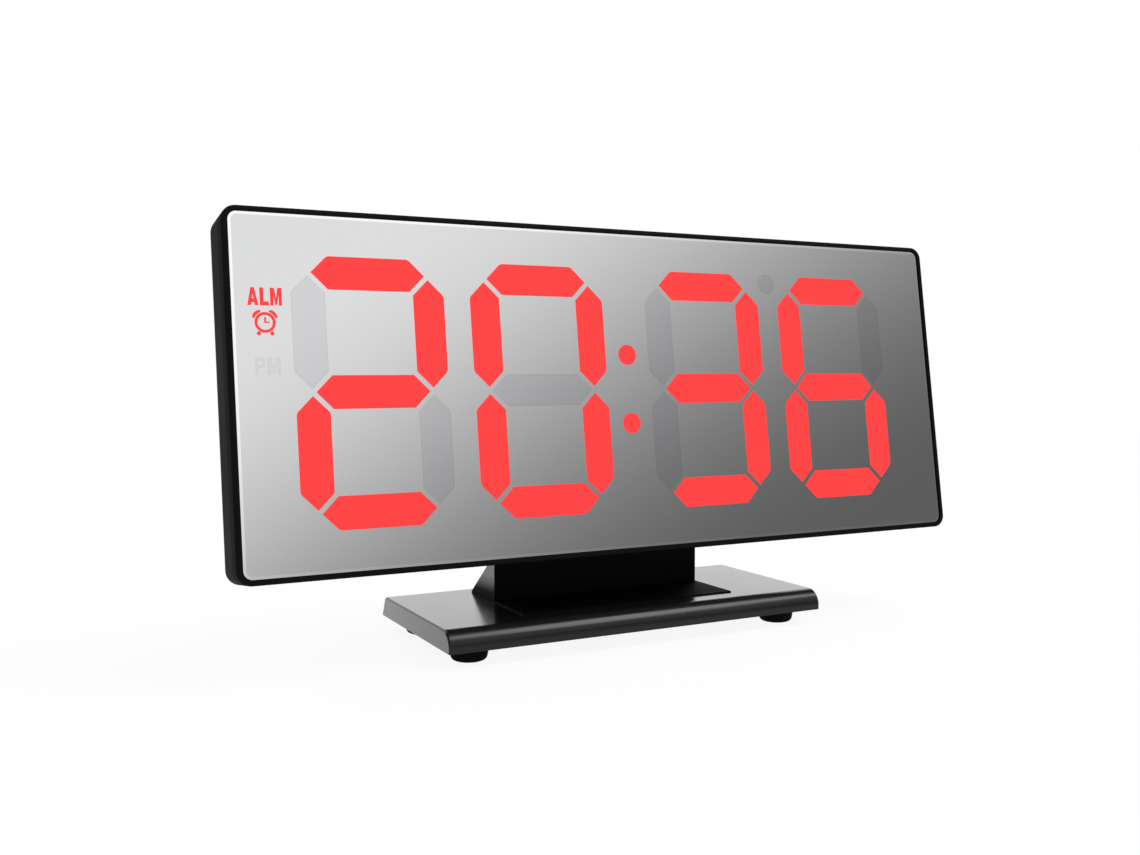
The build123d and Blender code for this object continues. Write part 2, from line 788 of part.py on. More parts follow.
with BuildPart() as neck_screws:
    with BuildSketch(Plane.XZ.offset(-neck_seat_y)):
        with Locations((-neck_screw_x, neck_screw_z), (neck_screw_x, neck_screw_z)):
            Circle(head_radius)
    extrude(amount=-head_height)
    fillet(neck_screws.faces().filter_by(Axis.Y).group_by(Axis.Y)[-1].edges(), head_height / 2)
    with BuildSketch(Plane.XZ.offset(-neck_seat_y)):
        with Locations((-neck_screw_x, neck_screw_z), (neck_screw_x, neck_screw_z)):
            Circle(shank_radius)
    extrude(amount=neck_screw_length)

with BuildPart() as base_screws:
    with BuildSketch(Plane.XY.offset(foot_height)):
        with Locations((0, base_screw_y)):
            with GridLocations(base_screw_spacing, 1, base_screw_count, 1):
                Circle(head_radius)
    extrude(amount=-head_height)
    fillet(base_screws.faces().filter_by(Axis.Z).group_by(Axis.Z)[0].edges(), head_height / 2)
    with BuildSketch(Plane.XY.offset(foot_height)):
        with Locations((0, base_screw_y)):
            with GridLocations(base_screw_spacing, 1, base_screw_count, 1):
                Circle(shank_radius)
    extrude(amount=base_thickness)

# AAA cells in series, every second one turned round
cell_turns = (1, -1, 1)
cell_left = bay_half_length - contact_thickness - cell_nub_length
with BuildPart() as battery_cells:
    for row, turn in zip(cell_rows, cell_turns):
        body_start = turn * (cell_left - cell_length)
        with BuildSketch(sideways(body_start, row, cell_depth)):
            Circle(cell_diameter / 2)
        extrude(amount=turn * cell_length)
        with BuildSketch(sideways(turn * cell_left, row, cell_depth)):
            Circle(cell_nub_radius)
        extrude(amount=turn * cell_nub_length)

# Contacts: flat plates at the nubs, leaf springs at the flat ends
leaf_reach = 2 * bay_half_length - 2 * contact_thickness - cell_length - cell_nub_length


def contact(rows, side, spring_rows):
    """Contact plate on one end wall of the bay, with a bent leaf for each sprung row."""
    inner = side * (bay_half_length - contact_thickness)
    middle = sum(rows) / len(rows)
    span = plate_size + max(rows) - min(rows)
    with BuildPart() as plate:
        with BuildSketch(sideways(inner, middle, cell_depth)):
            Rectangle(span, plate_size)
        extrude(amount=side * contact_thickness)
        for row in spring_rows:
            tip = inner - side * leaf_reach
            leaf_start = spot(0, row, cell_depth - leaf_width / 2)
            with BuildSketch(Plane(origin=leaf_start, x_dir=(1, 0, 0), z_dir=-front)):
                with BuildLine():
                    Polyline(
                        (inner, plate_size / 3),
                        (tip, 0),
                        (inner, -plate_size / 3),
                        (inner, contact_thickness - plate_size / 3),
                        (tip + side * contact_thickness, 0),
                        (inner, plate_size / 3 - contact_thickness),
                        close=True,
                    )
                make_face()
            extrude(amount=leaf_width)
    return plate.part


first_bridge = contact(cell_rows[:2], -1, [cell_rows[0]])
second_bridge = contact(cell_rows[1:], 1, [cell_rows[1]])
plus_terminal = contact(cell_rows[:1], 1, [])
minus_terminal = contact(cell_rows[2:], -1, [cell_rows[2]])

with BuildPart() as contact_bridges:
    add(first_bridge)
    add(second_bridge)

with BuildPart() as contact_terminals:
    add(plus_terminal)
    add(minus_terminal)
    leg_rear = leg_depth + contact_thickness / 2
    for side, row in terminal_legs:
        with BuildSketch(sideways(side * bay_half_length, row, leg_depth)):
            Rectangle(leg_width, contact_thickness)
        extrude(amount=side * leg_reach)
        leg_end = side * (bay_half_length + leg_reach)
        with BuildSketch(sideways(leg_end, row, (leg_rear + board_rear) / 2)):
            Rectangle(leg_width, leg_rear - board_rear)
        extrude(amount=-side * contact_thickness)

# Battery door: slides up in side grooves of the bulge
door_top = bulge_rear_top - door_clearance
door_middle = (door_top + door_bottom) / 2
rib_middle = door_middle + door_rib_pitch
with BuildPart() as battery_door:
    with BuildSketch(at_depth(door_rear)):
        with Locations((0, door_middle)):
            Rectangle(door_width, door_top - door_bottom)
    extrude(amount=door_thickness)
    with BuildSketch(at_depth(door_front + door_runner_thickness)):
        with Locations((0, door_middle)):
            Rectangle(door_width + 2 * door_runner, door_top - door_bottom)
    extrude(amount=door_runner_thickness)
    with BuildSketch(at_depth(door_rear)):
        with Locations((0, rib_middle)):
            with GridLocations(1, door_rib_pitch, 1, door_rib_count):
                SlotOverall(rib_length, rib_width)
    extrude(amount=-rib_height)

# Push buttons: cap through the back wall, flange trapped inside
button_rear = body_depth + button_proud
flange_rear = back_inner - button_rest_gap
flange_front = flange_rear - button_flange_thickness
button_parts = []
for place in button_places:
    with BuildPart() as button:
        with BuildSketch(at_depth(flange_front)):
            with Locations(place):
                SlotOverall(button_length, button_width)
        extrude(amount=flange_front - button_rear)
        fillet(button.faces().sort_by(front_axis)[0].edges(), button_round)
        with BuildSketch(at_depth(flange_front)):
            with Locations(place):
                SlotOverall(button_length + 2 * button_flange, button_width + 2 * button_flange)
        extrude(amount=flange_front - flange_rear)
    button_parts.append(button)

pieces = {
    "base_plate": base_plate,
    "neck_bracket": neck_bracket,
    "base_screws": base_screws,
    "neck_screws": neck_screws,
    "front_bezel": front_bezel,
    "mirror_tape": mirror_tape,
    "mirror_panel": mirror_panel,
    "lit_segments": lit_segments,
    "unlit_segments": unlit_segments,
    "colon_dots": colon_dots,
    "degree_dot": degree_dot,
    "diffuser_film": diffuser_film,
    "segment_reflector": segment_reflector,
    "display_board": display_board,
    "segment_leds": segment_leds,
    "board_screws": board_screws,
    "controller_chip": controller_chip,
    "driver_chips": driver_chips,
    "crystal": crystal,
    "buzzer": buzzer,
    "temperature_sensor": temperature_sensor,
    "smoothing_capacitor": smoothing_capacitor,
    "switch_bodies": switch_bodies,
    "switch_plungers": switch_plungers,
    "power_socket_shell": power_socket_shell,
    "power_socket_insulator": power_socket_insulator,
    "rear_cover": rear_cover,
    "housing_screws": housing_screws,
    "battery_cells": battery_cells,
    "contact_bridges": contact_bridges,
    "contact_terminals": contact_terminals,
    "battery_door": battery_door,
}
pieces.update(zip(foot_names, foot_parts))
pieces.update((f"{name}_button", part) for name, part in zip(button_names, button_parts))

for label, piece in pieces.items():
    piece.part.label = label
    export_step(piece.part, f"parts/{label}.step")
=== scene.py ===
import json
import math

import bpy
import numpy as np
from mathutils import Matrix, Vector


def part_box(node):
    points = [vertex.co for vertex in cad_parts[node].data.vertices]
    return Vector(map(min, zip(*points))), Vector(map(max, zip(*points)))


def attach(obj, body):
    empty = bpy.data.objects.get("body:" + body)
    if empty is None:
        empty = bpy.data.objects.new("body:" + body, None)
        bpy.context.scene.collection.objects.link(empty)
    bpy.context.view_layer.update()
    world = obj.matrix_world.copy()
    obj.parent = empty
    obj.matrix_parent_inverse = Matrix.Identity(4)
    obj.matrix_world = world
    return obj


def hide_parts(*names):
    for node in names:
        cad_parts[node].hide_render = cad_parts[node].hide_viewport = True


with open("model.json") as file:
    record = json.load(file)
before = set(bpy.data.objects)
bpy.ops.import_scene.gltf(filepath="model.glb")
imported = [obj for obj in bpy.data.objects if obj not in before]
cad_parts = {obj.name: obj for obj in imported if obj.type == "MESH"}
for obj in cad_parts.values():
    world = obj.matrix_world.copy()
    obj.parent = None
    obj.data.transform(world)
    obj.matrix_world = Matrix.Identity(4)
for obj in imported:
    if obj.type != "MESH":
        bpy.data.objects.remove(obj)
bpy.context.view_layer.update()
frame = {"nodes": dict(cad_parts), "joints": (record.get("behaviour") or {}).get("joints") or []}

nodes = frame["nodes"]

# Base plate: a low slab with a rounded nose that carries the clock.
# Black ABS from a fine-ground tool under a clear lacquer, so its satin top blurs what it reflects.
# The lacquer shows more as the view slants.
lacquer_starts = 0.35
lacquer_full = 0.78
lacquer_roughness = 0.16
cloud_low = 0.3
cloud_high = 0.7
grain_detail = 2.0
cloud_detail = 4.0


def feed(tree, node, inputs):
    """Each input that is named takes a plain value, or a link where a socket is given."""
    for name, value in inputs.items():
        if isinstance(value, bpy.types.NodeSocket):
            tree.links.new(value, node.inputs[name])
        else:
            node.inputs[name].default_value = value


def add_node(tree, kind, inputs, **settings):
    """New shader node: its settings first, because they choose its sockets, then its inputs."""
    node = tree.nodes.new("ShaderNode" + kind)
    for name, value in settings.items():
        setattr(node, name, value)
    feed(tree, node, inputs)
    return node.outputs


def ramp(tree, value, start, end, low=0.0, high=1.0, **settings):
    """Value carried from one range to another, and held at its ends."""
    ranges = {"Value": value, "From Min": start, "From Max": end, "To Min": low, "To Max": high}
    return add_node(tree, "MapRange", ranges, **settings)["Result"]


def object_place(tree):
    """The object's own coordinates."""
    return add_node(tree, "TexCoord", {})["Object"]


def tool_grain_group():
    """Fine grain and broad clouds: two noises of the object's own coordinates."""
    group = bpy.data.node_groups.new("tool_grain", "ShaderNodeTree")
    for name in ("Fineness", "Cloud Scale"):
        group.interface.new_socket(name, in_out="INPUT", socket_type="NodeSocketFloat")
    for name in ("Grain", "Clouds"):
        group.interface.new_socket(name, in_out="OUTPUT", socket_type="NodeSocketFloat")
    entry = group.nodes.new("NodeGroupInput").outputs
    leave = group.nodes.new("NodeGroupOutput")
    place = object_place(group)
    fine = {"Vector": place, "Scale": entry["Fineness"], "Detail": grain_detail}
    broad = {"Vector": place, "Scale": entry["Cloud Scale"], "Detail": cloud_detail}
    grain = add_node(group, "TexNoise", fine)["Fac"]
    clouds = add_node(group, "TexNoise", broad)["Fac"]
    feed(group, leave, {"Grain": grain, "Clouds": clouds})
    return group


tool_grain = tool_grain_group()


def set_shader(material, inputs):
    """The named inputs of a material's shader."""
    feed(material.node_tree, material.node_tree.nodes["Principled BSDF"], inputs)


def finish(name, dark, light, roughness, specular, fineness, height, clouds=45.0, metallic=0.0):
    """Surface whose colour and roughness drift with the clouds and whose grain lifts it."""
    material = bpy.data.materials.new(name)
    material.use_nodes = True
    tree = material.node_tree
    grain = add_node(tree, "Group", {"Fineness": fineness, "Cloud Scale": clouds}, node_tree=tool_grain)
    colours = {"Factor": grain["Clouds"], "A": (*dark, 1), "B": (*light, 1)}
    drift = add_node(tree, "Mix", colours, data_type="RGBA", name="drift")["Result"]
    rough = ramp(tree, grain["Clouds"], cloud_low, cloud_high, *roughness)
    lift = add_node(tree, "Bump", {"Height": grain["Grain"], "Strength": 1.0, "Distance": height})
    set_shader(material, {"Base Color": drift, "Roughness": rough, "Normal": lift["Normal"]})
    set_shader(material, {"Specular IOR Level": specular, "Metallic": metallic})
    return material


def coat(material, *names):
    """The named CAD nodes take the material on their one slot."""
    for name in names:
        nodes[name].data.materials.clear()
        nodes[name].data.materials.append(material)


satin_black = finish(
    "satin_black",
    dark=(0.008, 0.008, 0.0084),
    light=(0.012, 0.012, 0.0126),
    roughness=(0.20, 0.26),
    specular=0.25,
    fineness=1600.0,
    height=2e-6,
)
tree = satin_black.node_tree
glance = add_node(tree, "LayerWeight", {})["Facing"]
lacquer = ramp(tree, glance, lacquer_starts, lacquer_full)
set_shader(satin_black, {"Coat Weight": lacquer, "Coat Roughness": lacquer_roughness})
coat(satin_black, "base_plate")

# Rubber feet: four discs pressed into seats under the base.
# Black nitrile, dull, with a faint bloom on it.
foot_rubber = finish(
    "foot_rubber",
    dark=(0.003, 0.003, 0.003),
    light=(0.006, 0.006, 0.0058),
    roughness=(0.70, 0.88),
    specular=0.05,
    fineness=1800.0,
    height=1.5e-5,
)
coat(foot_rubber, "foot_front_left", "foot_front_right", "foot_rear_left", "foot_rear_right")

# Neck bracket: a flat foot let into the base, a thin upright and four gussets, in one moulding.
# Black ABS straight from a spark-eroded tool, so it is dull.
# Only its two ends, where the tool slides, shine, and only clear of the base.
end_starts = 0.7
end_full = 0.95
shine_starts = 0.0019
shine_full = 0.0062
end_roughness = 0.22
end_refraction = 1.7


def reckon(tree, operation, *values):
    """One sum on numbers or sockets, in the order in which the operation takes them."""
    return add_node(tree, "Math", dict(enumerate(values)), operation=operation)["Value"]


dull_black = finish(
    "dull_black",
    dark=(0.0022, 0.0022, 0.0023),
    light=(0.004, 0.004, 0.0042),
    roughness=(0.55, 0.65),
    specular=0.05,
    fineness=2600.0,
    height=6e-6,
)
tree = dull_black.node_tree
lie = add_node(tree, "NewGeometry", {})["True Normal"]
sideways = reckon(tree, "ABSOLUTE", add_node(tree, "SeparateXYZ", {0: lie})["X"])
at_an_end = ramp(tree, sideways, end_starts, end_full)
base_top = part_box("base_plate")[1].z
level = add_node(tree, "SeparateXYZ", {0: object_place(tree)})["Z"]
clear_of_base = ramp(tree, level, base_top + shine_starts, base_top + shine_full)
rubbed = reckon(tree, "MULTIPLY", at_an_end, clear_of_base)
set_shader(
    dull_black, {"Coat Weight": rubbed, "Coat Roughness": end_roughness, "Coat IOR": end_refraction}
)
coat(dull_black, "neck_bracket")

# Base screws: three cross-recess screws that pull the neck down onto the base from below.
# Zinc-plated steel with rolled threads.
screw_head = 0.0021
screw_crown = 0.0011
screw_shank = 0.0010
screw_thread = 0.00012
screw_pitch = 0.0008
screw_sides = 64
crown_rows = 26
crown_eye = 0.02
crown_fall = 0.45
shank_rows = 12
rows_per_turn = 8
point_length = 1.5
point_tip = 0.05
thread_stops = 0.5
recess_reach = 0.62
recess_half = 0.15
recess_depth = 0.0007
recess_sharpness = 60
recess_lean = (0.3, 0.5, 0.8)
screw_crease = 50


def within(value, edge):
    """One well below an edge and nothing well above it, with an S-shaped fall at the edge."""
    return 1 / (1 + np.exp((value - edge) * recess_sharpness))


def screw_surface(length):
    """A profile turned about the axis: crown, rim, underside, threaded shank and point.

    The crown falls with the fourth power of the radius and sinks inside a cross whose two
    arms are smooth boxes. On the shank a triangle wave of height plus turn cuts into the radius.
    """
    turn = np.linspace(0, 2 * np.pi, screw_sides, endpoint=False)
    share = np.linspace(crown_eye, 1, crown_rows)
    crown = np.stack([share * screw_head, screw_crown * (1 - crown_fall * share ** 4)], axis=1)
    under = np.array([[screw_head, 0.0], [screw_shank, 0.0]])
    drop = np.linspace(0, length, max(shank_rows, int(length / screw_pitch * rows_per_turn)))
    shank = np.stack([np.full_like(drop, screw_shank), -drop], axis=1)[1:]
    shank[:, 0] *= np.clip((length - drop[1:]) / (point_length * screw_shank), point_tip, 1)
    profile = np.concatenate([crown, under, shank])
    row = np.arange(len(profile))[:, None]
    radius = profile[:, :1] * np.ones_like(turn)
    level = profile[:, 1:] * np.ones_like(turn)
    wave = np.abs((level / screw_pitch + turn / (2 * np.pi)) % 1 - 0.5) * 2
    threaded = (row > len(crown) + 1) * (radius > screw_shank * thread_stops)
    radius = radius - threaded * screw_thread * wave
    across = np.abs(radius * np.cos(turn)) / screw_head
    along = np.abs(radius * np.sin(turn)) / screw_head
    cross = np.maximum(
        within(across, recess_half) * within(along, recess_reach),
        within(along, recess_half) * within(across, recess_reach),
    )
    level = level - (row < len(crown)) * cross * recess_depth
    points = np.stack([radius * np.cos(turn), radius * np.sin(turn), level], axis=-1)
    grid = np.arange(level.size).reshape(level.shape)
    near = grid[:-1]
    far = grid[1:]
    quads = np.stack([near, far, np.roll(far, -1, 1), np.roll(near, -1, 1)], axis=-1).reshape(-1, 4)
    faces = quads.tolist() + [grid[0].tolist(), grid[-1][::-1].tolist()]
    return points.reshape(-1, 3), faces


def add_piece(name, points, faces, material, body, slot):
    """New mesh at the origin with its place in its points, riding on a body."""
    mesh = bpy.data.meshes.new(name)
    mesh.from_pydata(np.asarray(points).tolist(), [], faces)
    mesh.materials.append(material)
    piece = bpy.data.objects.new(name, mesh)
    bpy.context.scene.collection.objects.link(piece)
    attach(piece, body)
    return piece


def gather(shapes):
    """Several point-and-face sets in one: points stacked, faces counted on."""
    points = []
    faces = []
    count = 0
    for more_points, more_faces in shapes:
        points.append(more_points)
        faces += [[index + count for index in face] for face in more_faces]
        count += len(more_points)
    return np.concatenate(points), faces


def span(node, axis):
    """Lowest and highest reach of a CAD node along an axis."""
    reach = [vertex.co.dot(axis) for vertex in nodes[node].data.vertices]
    return min(reach), max(reach)


def add_screws(node, places, outward, material):
    """Screws at the given seats, heads facing outward, in place of a CAD node."""
    low, high = span(node, Vector(outward))
    points, faces = screw_surface(high - low - screw_crown)
    outward = np.array(outward)
    side = np.cross(outward, recess_lean)
    side /= np.linalg.norm(side)
    turned = points @ np.array([side, np.cross(outward, side), outward])
    shapes = [(turned + np.array(place), faces) for place in places]
    piece = add_piece(node + "_turned", *gather(shapes), material, "clock", "screw_steel")
    piece.data.shade_smooth()
    piece.data.set_sharp_from_angle(angle=math.radians(screw_crease))
    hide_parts(node)


plated_steel = finish(
    "plated_steel",
    dark=(0.50, 0.50, 0.49),
    light=(0.66, 0.66, 0.65),
    roughness=(0.22, 0.36),
    specular=0.5,
    fineness=4000.0,
    height=3e-6,
    clouds=900.0,
    metallic=1.0,
)
low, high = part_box("base_screws")
base_row = [low.x + screw_head, (low.x + high.x) / 2, high.x - screw_head]
seats = [(x, (low.y + high.y) / 2, low.z + screw_crown) for x in base_row]
downward = (0, 0, -1)
add_screws("base_screws", seats, downward, plated_steel)

# Front bezel: the thin rim that holds the mirror, its front edge rounded.
# Black ABS as the rear cover is, but deeper in colour and duller, from a finer tool.
glance_full = 0.35
glance_gone = 0.72
bezel_black = finish(
    "bezel_black",
    dark=(0.003, 0.003, 0.0032),
    light=(0.005, 0.005, 0.0053),
    roughness=(0.54, 0.62),
    specular=0.008,
    fineness=2200.0,
    height=3e-6,
)


def dull_at_a_glance(material, shine, roughness):
    """Skin of a textured tool: it shines seen straight on, and less as the view slants."""
    tree = material.node_tree
    glance = add_node(tree, "LayerWeight", {})["Facing"]
    fall = ramp(tree, glance, glance_full, glance_gone, shine, 0.0)
    set_shader(material, {"Coat Weight": fall, "Coat Roughness": roughness})


dull_at_a_glance(bezel_black, shine=0.08, roughness=0.58)
coat(bezel_black, "front_bezel")

# Mirror panel: bevelled acrylic plate, silvered but for the display's windows, on black foam tape.
# The coat is flat, so the bevel mirrors what the plate does; its colour is painted brighter as a
# painted highlight, most at its top and left.
slides = {joint["name"]: Vector(joint["axis"]).normalized() for joint in frame["joints"]}
face_out = slides["set_button_press"]
face_up = slides["battery_door_slide"]
face_right = Vector((1, 0, 0))
front_from = 0.95
bevel_lie = 0.97
bevel_margin = 0.029
edge_turn = 0.02
painted_highlight_low = 0.84
painted_highlight_high = 0.95
silvered = finish(
    "silvered",
    dark=(0.718, 0.722, 0.726),
    light=(0.728, 0.732, 0.736),
    roughness=(0.012, 0.022),
    specular=0.5,
    fineness=80.0,
    height=1e-7,
    clouds=30.0,
    metallic=1.0,
)


def reach_along(tree, way, axis):
    """How far a direction goes along an axis."""
    return add_node(tree, "VectorMath", {0: way, 1: axis}, operation="DOT_PRODUCT")["Value"]


def paint_over(material, colour, share):
    """Another colour laid over a finish's own, by a share from nothing to one."""
    tree = material.node_tree
    colours = {"Factor": share, "A": tree.nodes["drift"].outputs["Result"], "B": colour}
    set_shader(material, {"Base Color": add_node(tree, "Mix", colours, data_type="RGBA")["Result"]})


tree = silvered.node_tree
lie = add_node(tree, "NewGeometry", {})["True Normal"]
squareness = reach_along(tree, lie, face_out)
in_front = reckon(tree, "GREATER_THAN", squareness, front_from)
grained = tree.nodes["Principled BSDF"].inputs["Normal"].links[0].from_socket
ways = {"Factor": in_front, "A": grained, "B": face_out}
set_shader(silvered, {"Normal": add_node(tree, "Mix", ways, data_type="VECTOR")["Result"]})
on_bevel = reckon(tree, "COMPARE", squareness, bevel_lie, bevel_margin)
# Painted highlight: the bevel's colour is lifted above the plate's, most at its top and left, where the
# light falls.
to_the_light = reach_along(tree, lie, (face_up - face_right).normalized())
painted_bevel_highlight = ramp(tree, to_the_light, -edge_turn, edge_turn, painted_highlight_low, painted_highlight_high)
paint_over(silvered, painted_bevel_highlight, on_bevel)
coat(silvered, "mirror_panel")
foam_tape = finish(
    "foam_tape",
    dark=(0.010, 0.010, 0.010),
    light=(0.018, 0.018, 0.018),
    roughness=(0.8, 0.9),
    specular=0.2,
    fineness=3000.0,
    height=2e-5,
)
coat(foam_tape, "mirror_tape")

# Display lenses: diffusing acrylic bars and dots, flush in the mirror's windows.
# Those of the shown time glow red; the rest look like a duller mirror.
glow_red = (1.0, 0.05, 0.05, 1)
glow_strength = 0.92
lit_red = finish(
    "lit_red",
    dark=(0.16, 0.005, 0.005),
    light=(0.20, 0.007, 0.007),
    roughness=(0.40, 0.50),
    specular=0.15,
    fineness=900.0,
    height=1e-6,
)
set_shader(lit_red, {"Emission Color": glow_red, "Emission Strength": glow_strength})
coat(lit_red, "lit_segments", "colon_dots")
dull_mirror = finish(
    "dull_mirror",
    dark=(0.635, 0.637, 0.656),
    light=(0.647, 0.649, 0.668),
    roughness=(0.06, 0.09),
    specular=0.5,
    fineness=900.0,
    height=2e-7,
    clouds=30.0,
    metallic=1.0,
)
coat(dull_mirror, "unlit_segments", "degree_dot")

# Indicator legends: clear marks in the silvered coat at the left edge, lit from behind.
# The alarm word and its little clock are on, the afternoon mark is off.
mark_proud = 0.00002
mark_sunk = 0.00002
alarm_word_place = (-0.0882, 0.02015)
alarm_word_size = (0.00715, 0.00377)
alarm_clock_place = (-0.0883, 0.0147)
alarm_clock_radius = 0.00218
after_noon_place = (-0.0881, 0.0056)
after_noon_size = (0.0053, 0.00355)
letter_gap = 0.14
ring_inner = 0.72
ring_points = 64
bell_inner = 1.07
bell_outer = 1.20
bell_swell = 0.19
bell_half = 25
bell_points = 25
bell_angles = (45, 135)
foot_radius = 0.20
foot_reach = 1.23
foot_points = 20
foot_angles = (-59, -121)
minute_hand = ((0, -0.05), (0, 0.5), 0.18)
hour_hand = ((0.09, 0.02), (0.42, 0.02), 0.14)
bend_points = 24
face_axes = np.array([face_right, face_up, face_out])
mirror_middle = sum(span("mirror_panel", face_up)) / 2
mirror_level = span("mirror_panel", face_out)[1]


def band_shape(inner, outer, closed):
    """Flat band between two lines of points, with a rectangular section carried along them."""
    count = len(inner)
    flat = [(inner, -mark_sunk), (outer, -mark_sunk), (outer, mark_proud), (inner, mark_proud)]
    points = np.stack([np.column_stack([line, np.full(count, z)]) for line, z in flat], axis=1)
    grid = np.arange(count * 4).reshape(count, 4)
    ahead = np.roll(grid, -1, 0) if closed else grid[1:]
    behind = grid if closed else grid[:-1]
    quads = np.stack([behind, ahead, np.roll(ahead, -1, 1), np.roll(behind, -1, 1)], axis=-1)
    faces = quads.reshape(-1, 4).tolist()
    if not closed:
        faces += [grid[0].tolist(), grid[-1][::-1].tolist()]
    return points.reshape(-1, 3), faces


def bar_band(start, end, width):
    """Straight band of a width between two points."""
    line = np.array([start, end], dtype=float)
    way = (line[1] - line[0]) / np.linalg.norm(line[1] - line[0])
    side = np.array([-way[1], way[0]]) * width / 2
    return band_shape(line + side, line - side, False)


def plate_shape(outline):
    """Flat plate of one outline, anticlockwise: front, back, and a wall along each side."""
    count = len(outline)
    low = np.column_stack([outline, np.full(count, -mark_sunk)])
    high = np.column_stack([outline, np.full(count, mark_proud)])
    ring = np.arange(count)
    walls = np.stack([ring, np.roll(ring, -1), np.roll(ring, -1) + count, ring + count], axis=-1)
    faces = walls.tolist() + [ring[::-1].tolist(), (ring + count).tolist()]
    return np.concatenate([low, high]), faces


def spokes(degrees):
    """Points of a circle of one unit at the given angles, anticlockwise from the right."""
    angle = np.radians(degrees)
    return np.stack([np.cos(angle), np.sin(angle)], axis=-1)


def circle(count):
    """Points all round a circle of one unit, evenly."""
    return spokes(np.linspace(0, 360, count, endpoint=False))


def bell_shape(middle):
    """Band round an angle: its inner edge is an arc, its outer edge swells by a half ellipse."""
    sweep = np.linspace(-1, 1, bell_points)
    ring = spokes(middle + bell_half * sweep)
    swell = bell_outer + bell_swell * np.sqrt(1 - sweep ** 2)
    return band_shape(bell_inner * ring, swell[:, None] * ring, False)


def alarm_clock_shape(radius):
    """Ring of one unit with two bells over it, two feet under it and two hands, times the radius."""
    ring = circle(ring_points)
    disc = foot_radius * circle(foot_points)
    shapes = [band_shape(ring_inner * ring, ring, True)]
    shapes += [bell_shape(angle) for angle in bell_angles]
    shapes += [plate_shape(foot_reach * spokes(angle) + disc) for angle in foot_angles]
    shapes += [bar_band(*minute_hand), bar_band(*hour_hand)]
    points, faces = gather(shapes)
    points[:, :2] *= radius
    return points, faces


def bold_letter(letter):
    """Heavy upright letter, one unit high: strokes as plates and bands, no serifs."""
    if letter == "A":
        legs = band_shape(
            np.array([(0.71, 0), (0.545, 0.64), (0.515, 0.64), (0.35, 0)]),
            np.array([(1.06, 0), (0.70, 1), (0.36, 1), (0, 0)]),
            False,
        )
        bar = plate_shape(np.array([(0.394, 0.17), (0.666, 0.17), (0.612, 0.38), (0.448, 0.38)]))
        return [legs, bar], 1.06
    if letter == "L":
        outline = [(0, 0), (0.86, 0), (0.86, 0.22), (0.36, 0.22), (0.36, 1), (0, 1)]
        return [plate_shape(np.array(outline))], 0.86
    if letter == "M":
        outline = [(0, 0), (0.31, 0), (0.31, 0.62), (0.47, 0.04), (0.66, 0.04), (0.82, 0.62)]
        outline += [(0.82, 0), (1.13, 0), (1.13, 1), (0.73, 1), (0.565, 0.42), (0.40, 1), (0, 1)]
        return [plate_shape(np.array(outline))], 1.13
    stem = plate_shape(np.array([(0, 0), (0.28, 0), (0.28, 1), (0, 1)]))
    bend = spokes(np.linspace(-90, 90, bend_points))
    outer = np.concatenate([[(0.28, 0.38)], (0.54, 0.69) + 0.31 * bend, [(0.28, 1)]])
    inner = np.concatenate([[(0.28, 0.59)], (0.54, 0.69) + 0.10 * bend, [(0.28, 0.79)]])
    return [stem, band_shape(inner, outer, False)], 0.85


def bold_word(word, size):
    """Bold letters side by side with a small gap, stretched to a width and height."""
    shapes = []
    pen = 0.0
    for letter in word:
        strokes, width = bold_letter(letter)
        shapes += [(points + np.array([pen, 0, 0]), faces) for points, faces in strokes]
        pen += width + letter_gap
    points, faces = gather(shapes)
    points[:, 0] = (points[:, 0] / (pen - letter_gap) - 0.5) * size[0]
    points[:, 1] = (points[:, 1] - 0.5) * size[1]
    return points, faces


def add_mark(name, shape, place, material, slot):
    """Flat shape laid on the mirror: across, up the face from its middle, and out of its front."""
    points, faces = shape
    laid = (points + np.array([place[0], mirror_middle + place[1], mirror_level])) @ face_axes
    add_piece(name, laid, faces, material, "clock", slot)


faint_mirror = finish(
    "faint_mirror",
    dark=(0.664, 0.666, 0.670),
    light=(0.674, 0.676, 0.680),
    roughness=(0.05, 0.08),
    specular=0.5,
    fineness=900.0,
    height=2e-7,
    clouds=30.0,
    metallic=1.0,
)
alarm_word = bold_word("ALM", alarm_word_size)
add_mark("alarm_word", alarm_word, alarm_word_place, lit_red, "lit_red")
alarm_clock = alarm_clock_shape(alarm_clock_radius)
add_mark("alarm_symbol", alarm_clock, alarm_clock_place, lit_red, "lit_red")
after_noon = bold_word("PM", after_noon_size)
add_mark("afternoon_word", after_noon, after_noon_place, faint_mirror, "dark_lens")

# Light box: a diffuser film and the white reflector with a drafted cell behind each bar.
# High-reflectance polycarbonate; the film is matt polyester.
reflector_white = finish(
    "reflector_white",
    dark=(0.78, 0.78, 0.77),
    light=(0.84, 0.84, 0.83),
    roughness=(0.45, 0.55),
    specular=0.4,
    fineness=2000.0,
    height=4e-6,
)
coat(reflector_white, "segment_reflector")
matt_film = finish(
    "matt_film",
    dark=(0.70, 0.70, 0.70),
    light=(0.76, 0.76, 0.76),
    roughness=(0.6, 0.7),
    specular=0.3,
    fineness=5000.0,
    height=3e-6,
)
coat(matt_film, "diffuser_film")

